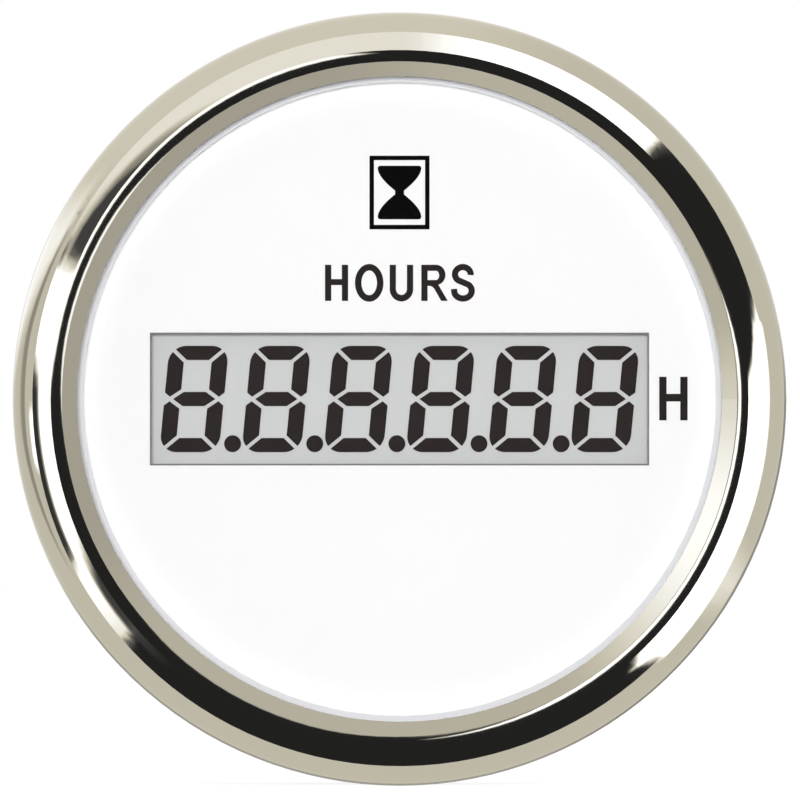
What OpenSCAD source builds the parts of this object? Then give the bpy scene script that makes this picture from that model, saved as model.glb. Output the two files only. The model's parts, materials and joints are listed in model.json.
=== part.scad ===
// Round panel hour meter: a liquid-crystal counter behind a flat lens, in a stepped moulded housing
// with a polished bezel, held in its panel by a bracket, two studs and two thumb nuts.
// The modules draw in a front-view frame: x right, y up, z towards the viewer, panel face at z = 0.

/* [Panel fit] */
// Diameter of the round panel cut-out
panel_hole_d = 52; // [50:0.5:58]
// Radial gap between the body and the cut-out
hole_gap = 0.3; // [0.1:0.05:0.5]
// Thickness of the panel that the clamp is set for
panel_t = 6; // [5.5:0.25:10]

/* [Bezel] */
// How far the bezel reaches past the cut-out on each side
bezel_overhang = 5; // [4.5:0.25:7]
// Thickness of the bezel's shell
bezel_wall = 0.7; // [0.5:0.05:0.9]
// Radial width of the rounded outer edge
edge_w = 1.6; // [1.2:0.05:1.8]
// Tilt of that edge where it leaves the crest, in degrees
edge_tilt = 16; // [6:1:20]
// Radial width of the crowned crest
crest_w = 1.45; // [1.2:0.05:2]
// Tilt of the crest at its inner edge, in degrees
crest_tilt = 15; // [8:1:22]
// Radial width of the steep inner slope
slope_w = 0.9; // [0.6:0.05:1.1]
// Angle of the inner slope, in degrees
slope_angle = 40; // [30:1:44]
// Radial width of the inner lip
lip_w = 1.2; // [0.8:0.05:1.5]
// Angle of the inner lip, in degrees
lip_angle = 20; // [10:1:28]
// Thickness of the lip at its sight edge
lip_edge_t = 0.5; // [0.3:0.05:0.8]
// Width of the edge rolled in behind the housing's flange
curl_w = 1.2; // [0.8:0.1:1.6]
// Gap between the bezel's skirt and the housing's rim
bezel_fit = 0.1; // [0.05:0.01:0.2]

/* [Head] */
// Thickness of the panel gasket
gasket_t = 1.5; // [1.2:0.1:2.5]
// Gap beside the panel gasket, to the body and to the bezel's rolled edge
gasket_gap = 0.15; // [0.1:0.05:0.3]
// Thickness of the housing's flange
flange_t = 2; // [1.5:0.1:3]
// Thickness of the rim around the lens
rim_wall = 1.8; // [1.2:0.1:2.2]
// Gap around the dial, spacer and lens
stack_gap = 0.2; // [0.1:0.05:0.3]
// Thickness of the dial plate
dial_t = 0.8; // [0.5:0.1:1.2]
// Height of the spacer ring between dial and lens
spacer_h = 2; // [1.2:0.1:3]
// How much of the spacer ring shows inside the bezel
spacer_reach = 0.45; // [0.3:0.05:0.8]
// Thickness of the lens
lens_t = 2; // [1.5:0.1:3]
// Chamfer on the lens edges
lens_chamfer = 0.25; // [0.1:0.05:0.4]
// Thickness of the lens seal
seal_t = 0.5; // [0.3:0.05:0.8]
// How far the lens seal stays back from the sight edge
seal_inset = 0.35; // [0.2:0.05:0.6]

/* [Body] */
// Depth of the body behind the panel face
body_depth = 26; // [24:1:40]
// Depth of the land that locates the body in the cut-out
land_depth = 8; // [5:0.5:10]
// Radial relief of the body under the panel gasket
neck_relief = 0.4; // [0.1:0.05:0.5]
// How far that relief runs past the panel's front face
neck_len = 0.3; // [0.1:0.1:0.6]
// Radial step from the land down to the tapered body
land_step = 0.6; // [0.2:0.05:0.7]
// Radius lost over the tapered body
body_draft = 0.5; // [0.2:0.05:0.6]
// Wall of the body
body_wall = 1.6; // [1.4:0.1:2]
// Thickness of the back wall
back_wall = 3; // [2:0.25:4]
// Radius of the body's back edge
back_round = 1.4; // [0.8:0.1:1.5]
// Width of the guide ribs along the body
rib_w = 1.6; // [1:0.1:2.5]
// Number of guide ribs
rib_count = 12; // [6:2:18]

/* [Display] */
// How far the display window stays inside the sight edge
window_inset = 5.95; // [5.75:0.05:9]
// Height of the display window
window_h = 10.4; // [9:0.05:12]
// Number of digits
digit_count = 6; // [4:1:6]
// Space between the digits and the top of the window
digit_margin_y = 0.93; // [0.6:0.01:1.4]
// Space between the digits and the end of the window
digit_margin_x = 1.02; // [0.8:0.01:1.6]
// Space between one digit and the next
digit_space = 1.81; // [1.6:0.01:2]
// Width of a digit's upright bars
post_w = 1.28; // [0.9:0.01:1.35]
// Thickness of a digit's level bars
bar_t = 1.14; // [0.9:0.01:1.25]
// Gap between the bars
segment_gap = 0.3; // [0.2:0.02:0.4]
// Radius of a digit's outer corners
digit_round = 1.38; // [0.8:0.02:1.5]
// Slant of the digits, in degrees
digit_slant = 5.5; // [0:0.1:8]
// Diameter of the decimal points
point_d = 1.36; // [1:0.02:1.4]
// Place of the points between two digits: 0 midway, 1 close to the right one
point_place = 0.6; // [0:0.05:0.8]
// Thickness of each glass plate
glass_t = 1.1; // [0.7:0.1:1.4]
// Thickness of the liquid-crystal layer with its segments
cell_t = 0.1; // [0.05:0.01:0.2]
// How far the glass reaches past the window at its ends
glass_side = 1; // [0.6:0.1:1.6]
// How far the rear glass reaches past the window above and below
glass_reach = 0.6; // [0.4:0.1:1]
// Contact ledge of the front glass above and below the rear glass
contact_ledge = 1.6; // [1.4:0.1:2]
// Thickness of the reflector film
reflector_t = 0.2; // [0.1:0.05:0.4]
// Thickness of the light guide
guide_t = 2; // [1.5:0.1:3]
// Wall of the display holder
holder_wall = 0.8; // [0.6:0.1:1]
// Floor of the display holder
holder_floor = 1; // [1:0.1:1.5]
// Gap around the display in its holder
holder_gap = 0.1; // [0.05:0.01:0.2]
// Thickness of the rubber contact strips
strip_t = 1.2; // [0.8:0.1:1.3]

/* [Circuit board] */
// Thickness of the circuit board
board_t = 1.6; // [1:0.1:2]
// Gap between the board and the body's wall
board_gap = 0.9; // [0.4:0.1:1.5]
// How far the board's screws stay inside its edge
screw_inset = 3.7; // [3.2:0.1:4.5]
// Shank diameter of the board screws
screw_d = 2.3; // [2:0.1:2.6]
// Length of the board screws under the head
screw_len = 8; // [6:0.5:10]
// Diameter of the screw bosses
boss_d = 4.8; // [4.2:0.1:5.2]
// Diameter of the filter capacitor
capacitor_d = 6.3; // [5:0.1:8]
// Height of the filter capacitor
capacitor_h = 7.7; // [5:0.1:11]
// Width of the controller chip
controller_w = 7; // [5:0.5:8]
// Height of the upper row of parts above the board's centre
row_up = 6.5; // [6:0.1:7]
// Distance of the lower row of parts below the board's centre
row_down = 5; // [4.5:0.1:5.5]
// Distance of the outer parts from the board's centre line
column_x = 11.5; // [11:0.1:12]
// Height of the row of chip resistors above the board's centre
resistor_row = 13.2; // [13:0.1:14]
// Distance from one chip resistor to the next
resistor_pitch = 2.9; // [2.4:0.1:3.2]

/* [Terminals] */
// Width of the terminal tabs
tab_w = 6.3; // [4.8:0.1:6.3]
// Thickness of the terminal tabs
tab_t = 0.8; // [0.5:0.1:1]
// Length of the tabs behind the back wall
tab_len = 9; // [7:0.5:12]
// Distance from one tab to the next
tab_pitch = 8; // [6.5:0.5:9]
// Gap between the bracket and the tabs
tab_clear = 3.2; // [2:0.1:4]
// Width of a terminal's tail to the board
tail_w = 2; // [1.5:0.1:2.5]
// Gap around a terminal in its slot
slot_gap = 0.05; // [0.03:0.01:0.1]

/* [Clamp] */
// Diameter of the studs
stud_d = 4; // [3:0.5:5]
// Distance between the studs
stud_spacing = 32; // [30:0.5:33]
// Pitch of the stud thread
thread_pitch = 0.7; // [0.5:0.05:0.8]
// Turns that the nuts can still tighten
tighten_turns = 7; // [4:1:7]
// Turns that the nuts can loosen
loosen_turns = 12; // [6:1:16]
// Width of the bracket
clamp_w = 16; // [12:0.5:18]
// Thickness of the bracket
clamp_t = 1.5; // [1:0.1:2]
// Gap between the body and the bracket's legs
clamp_gap = 1.5; // [1:0.1:2]
// Inside radius of the bracket's bends
clamp_bend = 1.5; // [1:0.1:2]
// Radius of the arch in the end of each leg
arch_r = 4; // [3:0.25:5]
// Thickness of the lock washers
washer_t = 0.9; // [0.6:0.1:1.2]
// Height of the thumb nuts
nut_h = 7; // [5:0.5:9]
// Diameter of the thumb nuts over the knurl
nut_d = 10; // [9:0.25:12]
// Depth of the knurl
knurl_depth = 0.35; // [0.2:0.05:0.5]
// Number of knurl teeth
knurl_count = 28; // [20:2:36]

/* [Hidden] */
$fn = 96;
cut = 0.5; // overshoot of cutting tools past a face
bore_fit = 0.05; // radial running gap of a stud or screw in its hole
free_fit = 0.3; // radial gap of a stud in the bracket and washers
face_gap = 0.05; // gap between the nuts and their washers
end_gap = 0.6; // spare length at each end of the clamp's travel
lap = 0.05; // overlap that joins two stretches of one section
rib_gap = 0.3; // how far the guide ribs stay below the land

bezel_r = panel_hole_d / 2 + bezel_overhang;
body_r = panel_hole_d / 2 - hole_gap;
bezel_round = edge_w / (1 - sin(edge_tilt));
crest_end_r = bezel_r - edge_w;
slope_end_r = crest_end_r - crest_w;
lip_end_r = slope_end_r - slope_w;
sight_r = lip_end_r - lip_w;

rim_r = bezel_r - bezel_wall - bezel_fit;
recess_r = rim_r - rim_wall;
disc_r = recess_r - stack_gap;
curl_r = rim_r - curl_w;
body_step_r = body_r - land_step;
body_back_r = body_step_r - body_draft;
cavity_front_r = body_r - body_wall;
cavity_back_r = body_back_r - body_wall;

flange_z = gasket_t;
floor_z = flange_z + flange_t;
dial_z = floor_z + dial_t;
lens_z = dial_z + spacer_h;
lens_top_z = lens_z + lens_t;
rim_z = lens_top_z + seal_t;
lip_z = rim_z + lip_edge_t;
lip_end_z = lip_z + lip_w * tan(lip_angle);
slope_end_z = lip_end_z + slope_w * tan(slope_angle);
crest_arc_r = crest_w / sin(crest_tilt);
crest_z = slope_end_z + crest_arc_r * (1 - cos(crest_tilt));
round_z = crest_z - bezel_round * cos(edge_tilt);
curl_z = flange_z - bezel_wall;
back_z = -body_depth;
inner_back_z = back_z + back_wall;

window_w = 2 * (sight_r - window_inset);
rear_glass_h = window_h + 2 * glass_reach;
glass_w = window_w + 2 * glass_side;
glass_h = rear_glass_h + 2 * contact_ledge;
cell_z = floor_z - glass_t;
rear_glass_z = cell_z - cell_t;
reflector_z = rear_glass_z - glass_t;
guide_z = reflector_z - reflector_t;
holder_z = guide_z - guide_t;
board_z = holder_z - holder_floor;
board_back_z = board_z - board_t;
strip_y = rear_glass_h / 2 + contact_ledge / 2;
digit_h = window_h - 2 * digit_margin_y;
digit_w = (window_w - 2 * digit_margin_x - (digit_count - 1) * digit_space) / digit_count;
digit_pitch = digit_w + digit_space;
point_y = point_d / 2 - digit_h / 2;
point_off = point_place * (digit_space - point_d) / 2 + point_y * tan(digit_slant);

board_r = cavity_front_r - board_gap;
screw_ring_r = board_r - screw_inset;
SCREW_ANGLES = [90, 222, 318];
screw_head_d = 1.9 * screw_d;
screw_head_t = 0.6 * screw_d;
pilot_r = screw_d / 2 + bore_fit;
web_t = 1.2; // thickness of the web that ties each boss to the wall
led_w = 2;
led_h = 1.25;
led_t = 0.8;
led_pitch = 9;
led_count = 4;
led_gap = 0.2;
peg_inset = 3; // how far the holder's pegs stay inside the window's ends
peg_x = window_w / 2 - peg_inset;
peg_r = 0.9;
peg_gap = 0.1;

tab_y = -(clamp_w / 2 + tab_clear + tab_w / 2);
tab_shoulder = 1; // how far a terminal's shoulder reaches past the tab on each side
tab_shoulder_h = 1.5;
tab_hole_r = 0.8;
tab_tip = 1.2; // chamfer of the tab's free end
tail_proud = 0.8; // length of the tail past the board's face

tighten_travel = tighten_turns * thread_pitch;
loosen_travel = loosen_turns * thread_pitch;
leg_x = body_r + clamp_gap;
bridge_z = back_z - end_gap - tighten_travel;
bridge_back_z = bridge_z - clamp_t;
nut_z = bridge_back_z - washer_t - face_gap;
stud_end_z = nut_z - nut_h - loosen_travel - end_gap;
stud_r = stud_d / 2;
stud_head_w = 1.75 * stud_d; // across the flats of the hexagonal head
stud_head_t = 0.6 * stud_d;
stud_collar_wall = 1.4;

BODY_BLACK = "#17181a";
CHIP_BLACK = "#2a2b2e";
STEEL = "#c9c4b6";
BRASS = "#c8a45a";
INK = "#2f2a2a";

// Turns the front-view frame so that the dial faces -Y with its top towards +Z
module upright() {
    rotate([90, 0, 0]) children();
}

// A flat-ended ring about the meter's axis, from z_low up to z_high
module ring(r_in, r_out, z_low, z_high) {
    translate([0, 0, z_low])
        difference() {
            cylinder(r = r_out, h = z_high - z_low);
            translate([0, 0, -cut]) cylinder(r = r_in, h = z_high - z_low + 2 * cut);
        }
}

// A box centred on x and y, from z_low up to z_high
module slab(w, h, z_low, z_high) {
    translate([-w / 2, -h / 2, z_low]) cube([w, h, z_high - z_low]);
}

// The part of a disc that lies in the quadrant towards +x and +y of its centre
module quarter_disc(r) {
    intersection() {
        circle(r = r);
        square(r + cut);
    }
}

// Section of the bezel's lip and inner slope, flat against the lens seal
module lip_section() {
    polygon([
        [sight_r, rim_z], [sight_r, lip_z], [lip_end_r, lip_end_z],
        [slope_end_r, slope_end_z], [slope_end_r, rim_z]
    ]);
}

// Section under the arcs of the crest and of the rounded edge, both drawn in by inset
module cap_section(inset) {
    intersection() {
        translate([crest_end_r, crest_z - crest_arc_r]) circle(r = crest_arc_r - inset);
        translate([bezel_r - bezel_round, round_z]) circle(r = bezel_round - inset);
        translate([slope_end_r, round_z - lap]) square([crest_w + edge_w + cut, bezel_round + lap]);
    }
}

// Section of the bezel's crest, rounded edge, skirt and rolled edge, as if it were solid
module shell_outline() {
    cap_section(0);
    translate([slope_end_r, curl_z + bezel_wall])
        square([bezel_r - slope_end_r, round_z - curl_z - bezel_wall]);
    translate([slope_end_r, curl_z]) square([bezel_r - bezel_wall - slope_end_r, bezel_wall]);
    translate([bezel_r - bezel_wall, curl_z + bezel_wall]) mirror([0, 1]) quarter_disc(bezel_wall);
}

// Room inside that outline for the rim and the hollow under the crest
module shell_hollow() {
    skirt_r = bezel_r - bezel_wall;
    translate([0, flange_z]) square([skirt_r, round_z - flange_z]);
    translate([0, curl_z - cut]) square([curl_r, flange_z - curl_z + 2 * cut]);
    cap_section(bezel_wall);
}

module bezel() {
    color(STEEL) {
        rotate_extrude() lip_section();
        rotate_extrude()
            difference() {
                shell_outline();
                shell_hollow();
            }
    }
}

module lens() {
    color("white", 0.25)
        translate([0, 0, lens_z]) {
            cylinder(r1 = disc_r - lens_chamfer, r2 = disc_r, h = lens_chamfer);
            translate([0, 0, lens_chamfer]) cylinder(r = disc_r, h = lens_t - 2 * lens_chamfer);
            translate([0, 0, lens_t - lens_chamfer])
                cylinder(r1 = disc_r, r2 = disc_r - lens_chamfer, h = lens_chamfer);
        }
}

module lens_seal() {
    color("#202020") ring(sight_r + seal_inset, disc_r, lens_top_z, rim_z);
}

module spacer_ring() {
    color("gainsboro") ring(sight_r - spacer_reach, disc_r, dial_z, lens_z);
}

module dial_plate() {
    color("white")
        difference() {
            translate([0, 0, floor_z]) cylinder(r = disc_r, h = dial_t);
            slab(window_w, window_h, floor_z - cut, dial_z + cut);
        }
}

module lcd_front_glass() {
    color("white", 0.3) slab(glass_w, glass_h, cell_z, floor_z);
}

module lcd_rear_glass() {
    color("#cbcbcb") slab(glass_w, rear_glass_h, reflector_z, rear_glass_z);
}

module lcd_reflector() {
    color("silver") slab(glass_w, rear_glass_h, guide_z, reflector_z);
}

module light_guide() {
    color("whitesmoke") slab(glass_w, rear_glass_h, holder_z, guide_z);
}

// Leans a list of points to the right with height
function slanted(points) = [for (p = points) [p[0] + p[1] * tan(digit_slant), p[1]]];

// Mirrors a list of points across an axis, keeping its direction of travel
function flipped(points, sx, sy) =
    let (moved = [for (p = points) [sx * p[0], sy * p[1]]])
    sx * sy > 0 ? moved : [for (i = [len(moved) - 1:-1:0]) moved[i]];

// Points on a digit's rounded corner between two angles
function corner_arc(from, to, steps = 5) = [
    for (i = [0:steps])
        let (a = from + (to - from) * i / steps)
        [digit_w / 2 + digit_round * (cos(a) - 1), digit_h / 2 + digit_round * (sin(a) - 1)]
];

// The gap at a corner runs from the outer to the inner corner, at this angle
mitre = atan2(bar_t, post_w);
mitre_off = digit_round * (sin(mitre) - cos(mitre));
bar_x = digit_w / 2 - post_w;
bar_y = digit_h / 2 - bar_t;

// Top bar: right half by its rounded corner, and the same mirrored
top_half = corner_arc(mitre + asin((segment_gap / 2 - mitre_off) / digit_round), 90);
top_end_x = bar_x - segment_gap / 2 / sin(mitre);
TOP_BAR = concat([[top_end_x, bar_y]], top_half, flipped(top_half, -1, 1), [[-top_end_x, bar_y]]);

// Upper right bar: rounded above, pointed at the waist
waist_slope = 0.7;
waist_edge_slope = 0.8;
waist_x = digit_w / 2 - post_w / 3;
waist_y = 0.6 * segment_gap;
SIDE_BAR = concat(
    [[bar_x, bar_y - segment_gap / 2 / cos(mitre)], [bar_x, waist_y + waist_slope * (waist_x - bar_x)]],
    [[waist_x, waist_y], [digit_w / 2, waist_y + waist_edge_slope * (digit_w / 2 - waist_x)]],
    corner_arc(0, mitre - asin((segment_gap / 2 + mitre_off) / digit_round))
);

// Middle bar: a long hexagon, its ends a gap away from the pointed waist
function middle_x(y) =
    waist_x - (y + segment_gap * sqrt(1 + waist_slope * waist_slope) - waist_y) / waist_slope;
MIDDLE_BAR = [
    [middle_x(0), 0], [middle_x(bar_t / 2), bar_t / 2], [-middle_x(bar_t / 2), bar_t / 2],
    [-middle_x(0), 0], [-middle_x(bar_t / 2), -bar_t / 2], [middle_x(bar_t / 2), -bar_t / 2]
];

// One segment of the counter, drawn on the rear glass
module segment(points) {
    translate([0, 0, rear_glass_z]) linear_extrude(cell_t) polygon(slanted(points));
}

module digit() {
    for (sy = [1, -1]) {
        segment(flipped(TOP_BAR, 1, sy));
        for (sx = [1, -1]) segment(flipped(SIDE_BAR, sx, sy));
    }
    segment(MIDDLE_BAR);
}

module lcd_segments() {
    color(INK) {
        for (i = [0:digit_count - 1])
            translate([(i - (digit_count - 1) / 2) * digit_pitch, 0, 0]) digit();
        for (i = [1:digit_count - 1])
            translate([(i - digit_count / 2) * digit_pitch + point_off, point_y, rear_glass_z])
                cylinder(d = point_d, h = cell_t, $fn = 32);
    }
}

// Open frame that stands on the board, carries the display stack and guides the contact strips
module lcd_holder() {
    color("#e8e6e0")
        difference() {
            union() {
                intersection() {
                    slab(glass_w + 2 * (holder_gap + holder_wall),
                         glass_h + 2 * (holder_gap + holder_wall), board_z, floor_z);
                    translate([0, 0, board_z])
                        cylinder(r = cavity_front_r - stack_gap, h = floor_z - board_z);
                }
                for (x = [-peg_x, peg_x])
                    translate([x, 0, board_back_z]) cylinder(r = peg_r, h = board_t + cut);
            }
            slab(glass_w + 2 * holder_gap, glass_h + 2 * holder_gap, holder_z, floor_z + cut);
            for (y = [-strip_y, strip_y])
                translate([0, y, 0])
                    slab(window_w + 2 * holder_gap, strip_t + 2 * holder_gap,
                         board_z - cut, holder_z + cut);
            led_places() slab(led_w + 2 * led_gap, led_h + 2 * led_gap, board_z - cut, holder_z + cut);
        }
}

module contact_strip(side) {
    color("#3a3a3c") translate([0, side * strip_y, 0]) slab(window_w, strip_t, board_z, cell_z);
}

module led_places() {
    for (i = [0:led_count - 1]) translate([(i - (led_count - 1) / 2) * led_pitch, 0, 0]) children();
}

module screw_places() {
    for (a = SCREW_ANGLES) rotate(a) translate([screw_ring_r, 0, 0]) children();
}

module tab_places() {
    for (i = [-1:1]) translate([i * tab_pitch, tab_y, 0]) children();
}

module circuit_board() {
    color("#1f6b3a")
        difference() {
            translate([0, 0, board_back_z]) cylinder(r = board_r, h = board_t);
            screw_places()
                translate([0, 0, board_back_z - cut]) cylinder(r = pilot_r, h = board_t + 2 * cut);
            for (x = [-peg_x, peg_x])
                translate([x, 0, board_back_z - cut])
                    cylinder(r = peg_r + peg_gap, h = board_t + 2 * cut);
            tab_places()
                slab(tab_t + 2 * slot_gap, tail_w + 2 * slot_gap, board_back_z - cut, board_z + cut);
        }
}

module backlight_leds() {
    color("#f2d98a") led_places() slab(led_w, led_h, board_z, board_z + led_t);
}

// A chip that lies against the board's back, with a row of bent leads along two of its sides
module leaded_chip(w, h, t, leads, pitch, both_ways = false) {
    lead_w = pitch * 0.45;
    lead_out = 0.9;
    lead_in = 0.1;
    lead_t = 0.25;
    foot_l = 0.5;
    stand_off = 0.1;
    knee = lead_out - lead_t;
    z_top = board_back_z - stand_off;
    slab(w, h, z_top - t, z_top);
    for (turn = both_ways ? [0, 90, 180, 270] : [90, 270])
        rotate(turn)
            for (i = [0:leads - 1])
                translate([(i - (leads - 1) / 2) * pitch, -(turn % 180 == 0 ? h : w) / 2, 0]) {
                    translate([-lead_w / 2, -lead_out, board_back_z - lead_t])
                        cube([lead_w, foot_l, lead_t]);
                    translate([-lead_w / 2, -knee, z_top - t / 2]) {
                        cube([lead_w, knee + lead_in, lead_t]);
                        cube([lead_w, lead_t, t / 2 + stand_off]);
                    }
                }
}

module microcontroller() {
    chip_t = 1.4;
    leads_a_side = 8;
    lead_pitch = 0.8;
    color(CHIP_BLACK)
        translate([0, row_up, 0])
            leaded_chip(controller_w, controller_w, chip_t, leads_a_side, lead_pitch, true);
}

module memory_chip() {
    chip_w = 3.9;
    chip_h = 4.9;
    chip_t = 1.5;
    leads_a_side = 4;
    lead_pitch = 1.27;
    color(CHIP_BLACK)
        translate([-column_x, row_up, 0]) leaded_chip(chip_w, chip_h, chip_t, leads_a_side, lead_pitch);
}

module voltage_regulator() {
    chip_w = 3.5;
    chip_h = 6.5;
    chip_t = 1.6;
    leads_a_side = 3;
    lead_pitch = 2.3;
    color(CHIP_BLACK)
        translate([0, -row_down, 0]) leaded_chip(chip_w, chip_h, chip_t, leads_a_side, lead_pitch);
}

// Flat-sided metal can on a rimmed base
module quartz_crystal() {
    can_l = 11;
    can_w = 4.6;
    can_h = 3.5;
    rim = 0.4;
    module stadium(grow, z_low, z_high) {
        slab(can_l - can_w, can_w + 2 * grow, z_low, z_high);
        for (side = [-1, 1])
            translate([side * (can_l - can_w) / 2, 0, z_low])
                cylinder(r = can_w / 2 + grow, h = z_high - z_low);
    }
    color("#b9bcc0")
        translate([column_x, row_up, 0]) {
            stadium(rim, board_back_z - rim, board_back_z);
            stadium(0, board_back_z - can_h, board_back_z - rim);
        }
}

// Aluminium can with a rolled groove, on a square base
module filter_capacitor() {
    base_t = 1;
    base_edge = 0.15;
    base_w = capacitor_d + 2 * base_edge;
    groove_r = 0.4;
    groove_h = 1.2;
    can_r = capacitor_d / 2;
    color("#a9adb3")
        translate([-column_x, -row_down, 0]) {
            slab(base_w, base_w, board_back_z - base_t, board_back_z);
            translate([0, 0, board_back_z])
                mirror([0, 0, 1])
                    rotate_extrude()
                        difference() {
                            translate([0, base_t]) square([can_r, capacitor_h - base_t]);
                            translate([can_r + groove_r / 2, base_t + groove_h])
                                circle(r = groove_r, $fn = 32);
                        }
        }
}

module surge_diode() {
    chip_w = 4.3;
    chip_h = 3.6;
    chip_t = 2.2;
    lead_pitch = 4.4;
    color(CHIP_BLACK)
        translate([column_x, -row_down, 0]) leaded_chip(chip_w, chip_h, chip_t, 1, lead_pitch);
}

module chip_resistors() {
    count = 6;
    chip_w = 1.25;
    chip_l = 2;
    chip_t = 0.5;
    color(CHIP_BLACK)
        for (i = [0:count - 1])
            translate([(i - (count - 1) / 2) * resistor_pitch, resistor_row, 0])
                slab(chip_w, chip_l, board_back_z - chip_t, board_back_z);
}

module board_screws() {
    slot_w = 0.6;
    color("#8d8f92")
        screw_places() {
            difference() {
                translate([0, 0, board_z]) cylinder(d = screw_head_d, h = screw_head_t);
                for (turn = [0, 90])
                    rotate(turn)
                        slab(screw_head_d * 0.6, slot_w,
                             board_z + screw_head_t / 2, board_z + screw_head_t + cut);
            }
            translate([0, 0, board_z - screw_len]) cylinder(d = screw_d, h = screw_len);
        }
}

// Half-section of the body behind the head, with its land, taper and rounded back edge
module body_section() {
    polygon([
        [0, back_z], [body_back_r - back_round, back_z], [body_back_r, back_z + back_round],
        [body_step_r, -land_depth], [body_r, -land_depth + land_step], [body_r, -neck_len],
        [body_r - neck_relief, -neck_len], [body_r - neck_relief, flange_z + lap], [0, flange_z + lap]
    ]);
    translate([body_back_r - back_round, back_z + back_round]) mirror([0, 1]) quarter_disc(back_round);
}

module housing_shell() {
    difference() {
        union() {
            rotate_extrude() body_section();
            translate([0, 0, flange_z]) cylinder(r = rim_r, h = rim_z - flange_z);
            guide_ribs();
        }
        translate([0, 0, floor_z]) cylinder(r = recess_r, h = rim_z - floor_z + cut);
        translate([0, 0, inner_back_z])
            cylinder(r1 = cavity_back_r, r2 = cavity_front_r, h = floor_z - inner_back_z);
        translate([0, 0, floor_z - cut]) cylinder(r = cavity_front_r, h = 2 * cut);
    }
}

// Ribs along the tapered body, just below its land, that steady it as it goes through the cut-out
module guide_ribs() {
    rib_z = back_z + 2 * back_round;
    rib_len = -land_depth - rib_z + land_step / 2;
    for (i = [0:rib_count - 1])
        rotate((i + 0.5) * 360 / rib_count)
            intersection() {
                translate([body_back_r - body_wall / 2, -rib_w / 2, rib_z])
                    cube([body_r - body_back_r + body_wall, rib_w, rib_len]);
                translate([0, 0, rib_z]) cylinder(r = body_r - rib_gap, h = rib_len);
            }
}

// Posts for the board's screws, each tied to the wall by a web
module screw_bosses() {
    web_r = (cavity_front_r + body_back_r) / 2;
    screw_places() {
        translate([0, 0, inner_back_z - cut]) cylinder(d = boss_d, h = board_back_z - inner_back_z + cut);
        translate([0, -web_t / 2, inner_back_z - cut])
            cube([web_r - screw_ring_r, web_t, (board_back_z - inner_back_z) * 0.75 + cut]);
    }
}

module stud_places() {
    for (side = [-1, 1]) translate([side * stud_spacing / 2, 0, 0]) children();
}

// Hexagon with the given width across its flats
module hexagon_prism(across, h) {
    cylinder(d = across / cos(30), h = h, $fn = 6);
}

module housing() {
    color(BODY_BLACK)
        difference() {
            union() {
                housing_shell();
                screw_bosses();
                stud_places()
                    translate([0, 0, inner_back_z - cut])
                        cylinder(r = stud_head_w / 2 / cos(30) + stud_collar_wall,
                                 h = stud_head_t + cut);
            }
            screw_places()
                translate([0, 0, board_z - screw_len - cut]) cylinder(r = pilot_r, h = screw_len + cut);
            stud_places() {
                translate([0, 0, back_z - cut]) cylinder(r = stud_r + bore_fit, h = back_wall + 2 * cut);
                translate([0, 0, inner_back_z])
                    hexagon_prism(stud_head_w + 2 * bore_fit, stud_head_t + cut);
            }
            tab_places()
                slab(tab_t + 2 * slot_gap, tab_w + 2 * slot_gap, back_z - cut, inner_back_z + cut);
        }
}

module panel_gasket() {
    color("#1b1b1c") ring(body_r + gasket_gap, curl_r - gasket_gap, 0, flange_z);
}

// Stamped tab with a shoulder against the inside of the back wall and a tail to the board
module terminal(index) {
    half = tab_w / 2;
    wide = half + tab_shoulder;
    tail = tail_w / 2;
    end_z = back_z - tab_len;
    shoulder_z = inner_back_z + tab_shoulder_h;
    tip_z = board_z + tail_proud;
    color(BRASS)
        translate([index * tab_pitch - tab_t / 2, tab_y, 0])
            rotate([90, 0, 90])
                linear_extrude(tab_t)
                    difference() {
                        polygon([
                            [tab_tip - half, end_z], [half - tab_tip, end_z], [half, end_z + tab_tip],
                            [half, inner_back_z], [wide, inner_back_z], [wide, shoulder_z],
                            [tail, shoulder_z], [tail, tip_z], [-tail, tip_z], [-tail, shoulder_z],
                            [-wide, shoulder_z], [-wide, inner_back_z], [-half, inner_back_z],
                            [-half, end_z + tab_tip]
                        ]);
                        translate([0, end_z + tab_len * 0.4]) circle(r = tab_hole_r, $fn = 32);
                    }
}

module stud(side) {
    chamfer = stud_r * 0.2;
    color(STEEL)
        translate([side * stud_spacing / 2, 0, 0]) {
            translate([0, 0, inner_back_z]) hexagon_prism(stud_head_w, stud_head_t);
            translate([0, 0, stud_end_z + chamfer])
                cylinder(r = stud_r, h = inner_back_z - stud_end_z - chamfer);
            translate([0, 0, stud_end_z]) cylinder(r1 = stud_r - chamfer, r2 = stud_r, h = chamfer);
        }
}

// One leg of the bracket with its bend, up to the flat bridge
module bracket_leg() {
    bend_z = bridge_z + clamp_bend;
    translate([leg_x, -clamp_w / 2, bend_z]) cube([clamp_t, clamp_w, -panel_t - bend_z]);
    translate([leg_x - clamp_bend, clamp_w / 2, bend_z])
        rotate([90, 0, 0])
            linear_extrude(clamp_w)
                mirror([0, 1])
                    difference() {
                        quarter_disc(clamp_bend + clamp_t);
                        circle(r = clamp_bend);
                    }
}

module clamp_bracket() {
    bridge_half = leg_x - clamp_bend;
    color("#b7b9bb")
        difference() {
            union() {
                translate([-bridge_half, -clamp_w / 2, bridge_back_z])
                    cube([2 * bridge_half, clamp_w, clamp_t]);
                bracket_leg();
                mirror([1, 0, 0]) bracket_leg();
            }
            stud_places()
                translate([0, 0, bridge_back_z - cut])
                    cylinder(r = stud_r + free_fit, h = clamp_t + 2 * cut);
            translate([-leg_x - clamp_t - cut, 0, -panel_t])
                rotate([0, 90, 0]) cylinder(r = arch_r, h = 2 * (leg_x + clamp_t + cut));
        }
}

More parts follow.
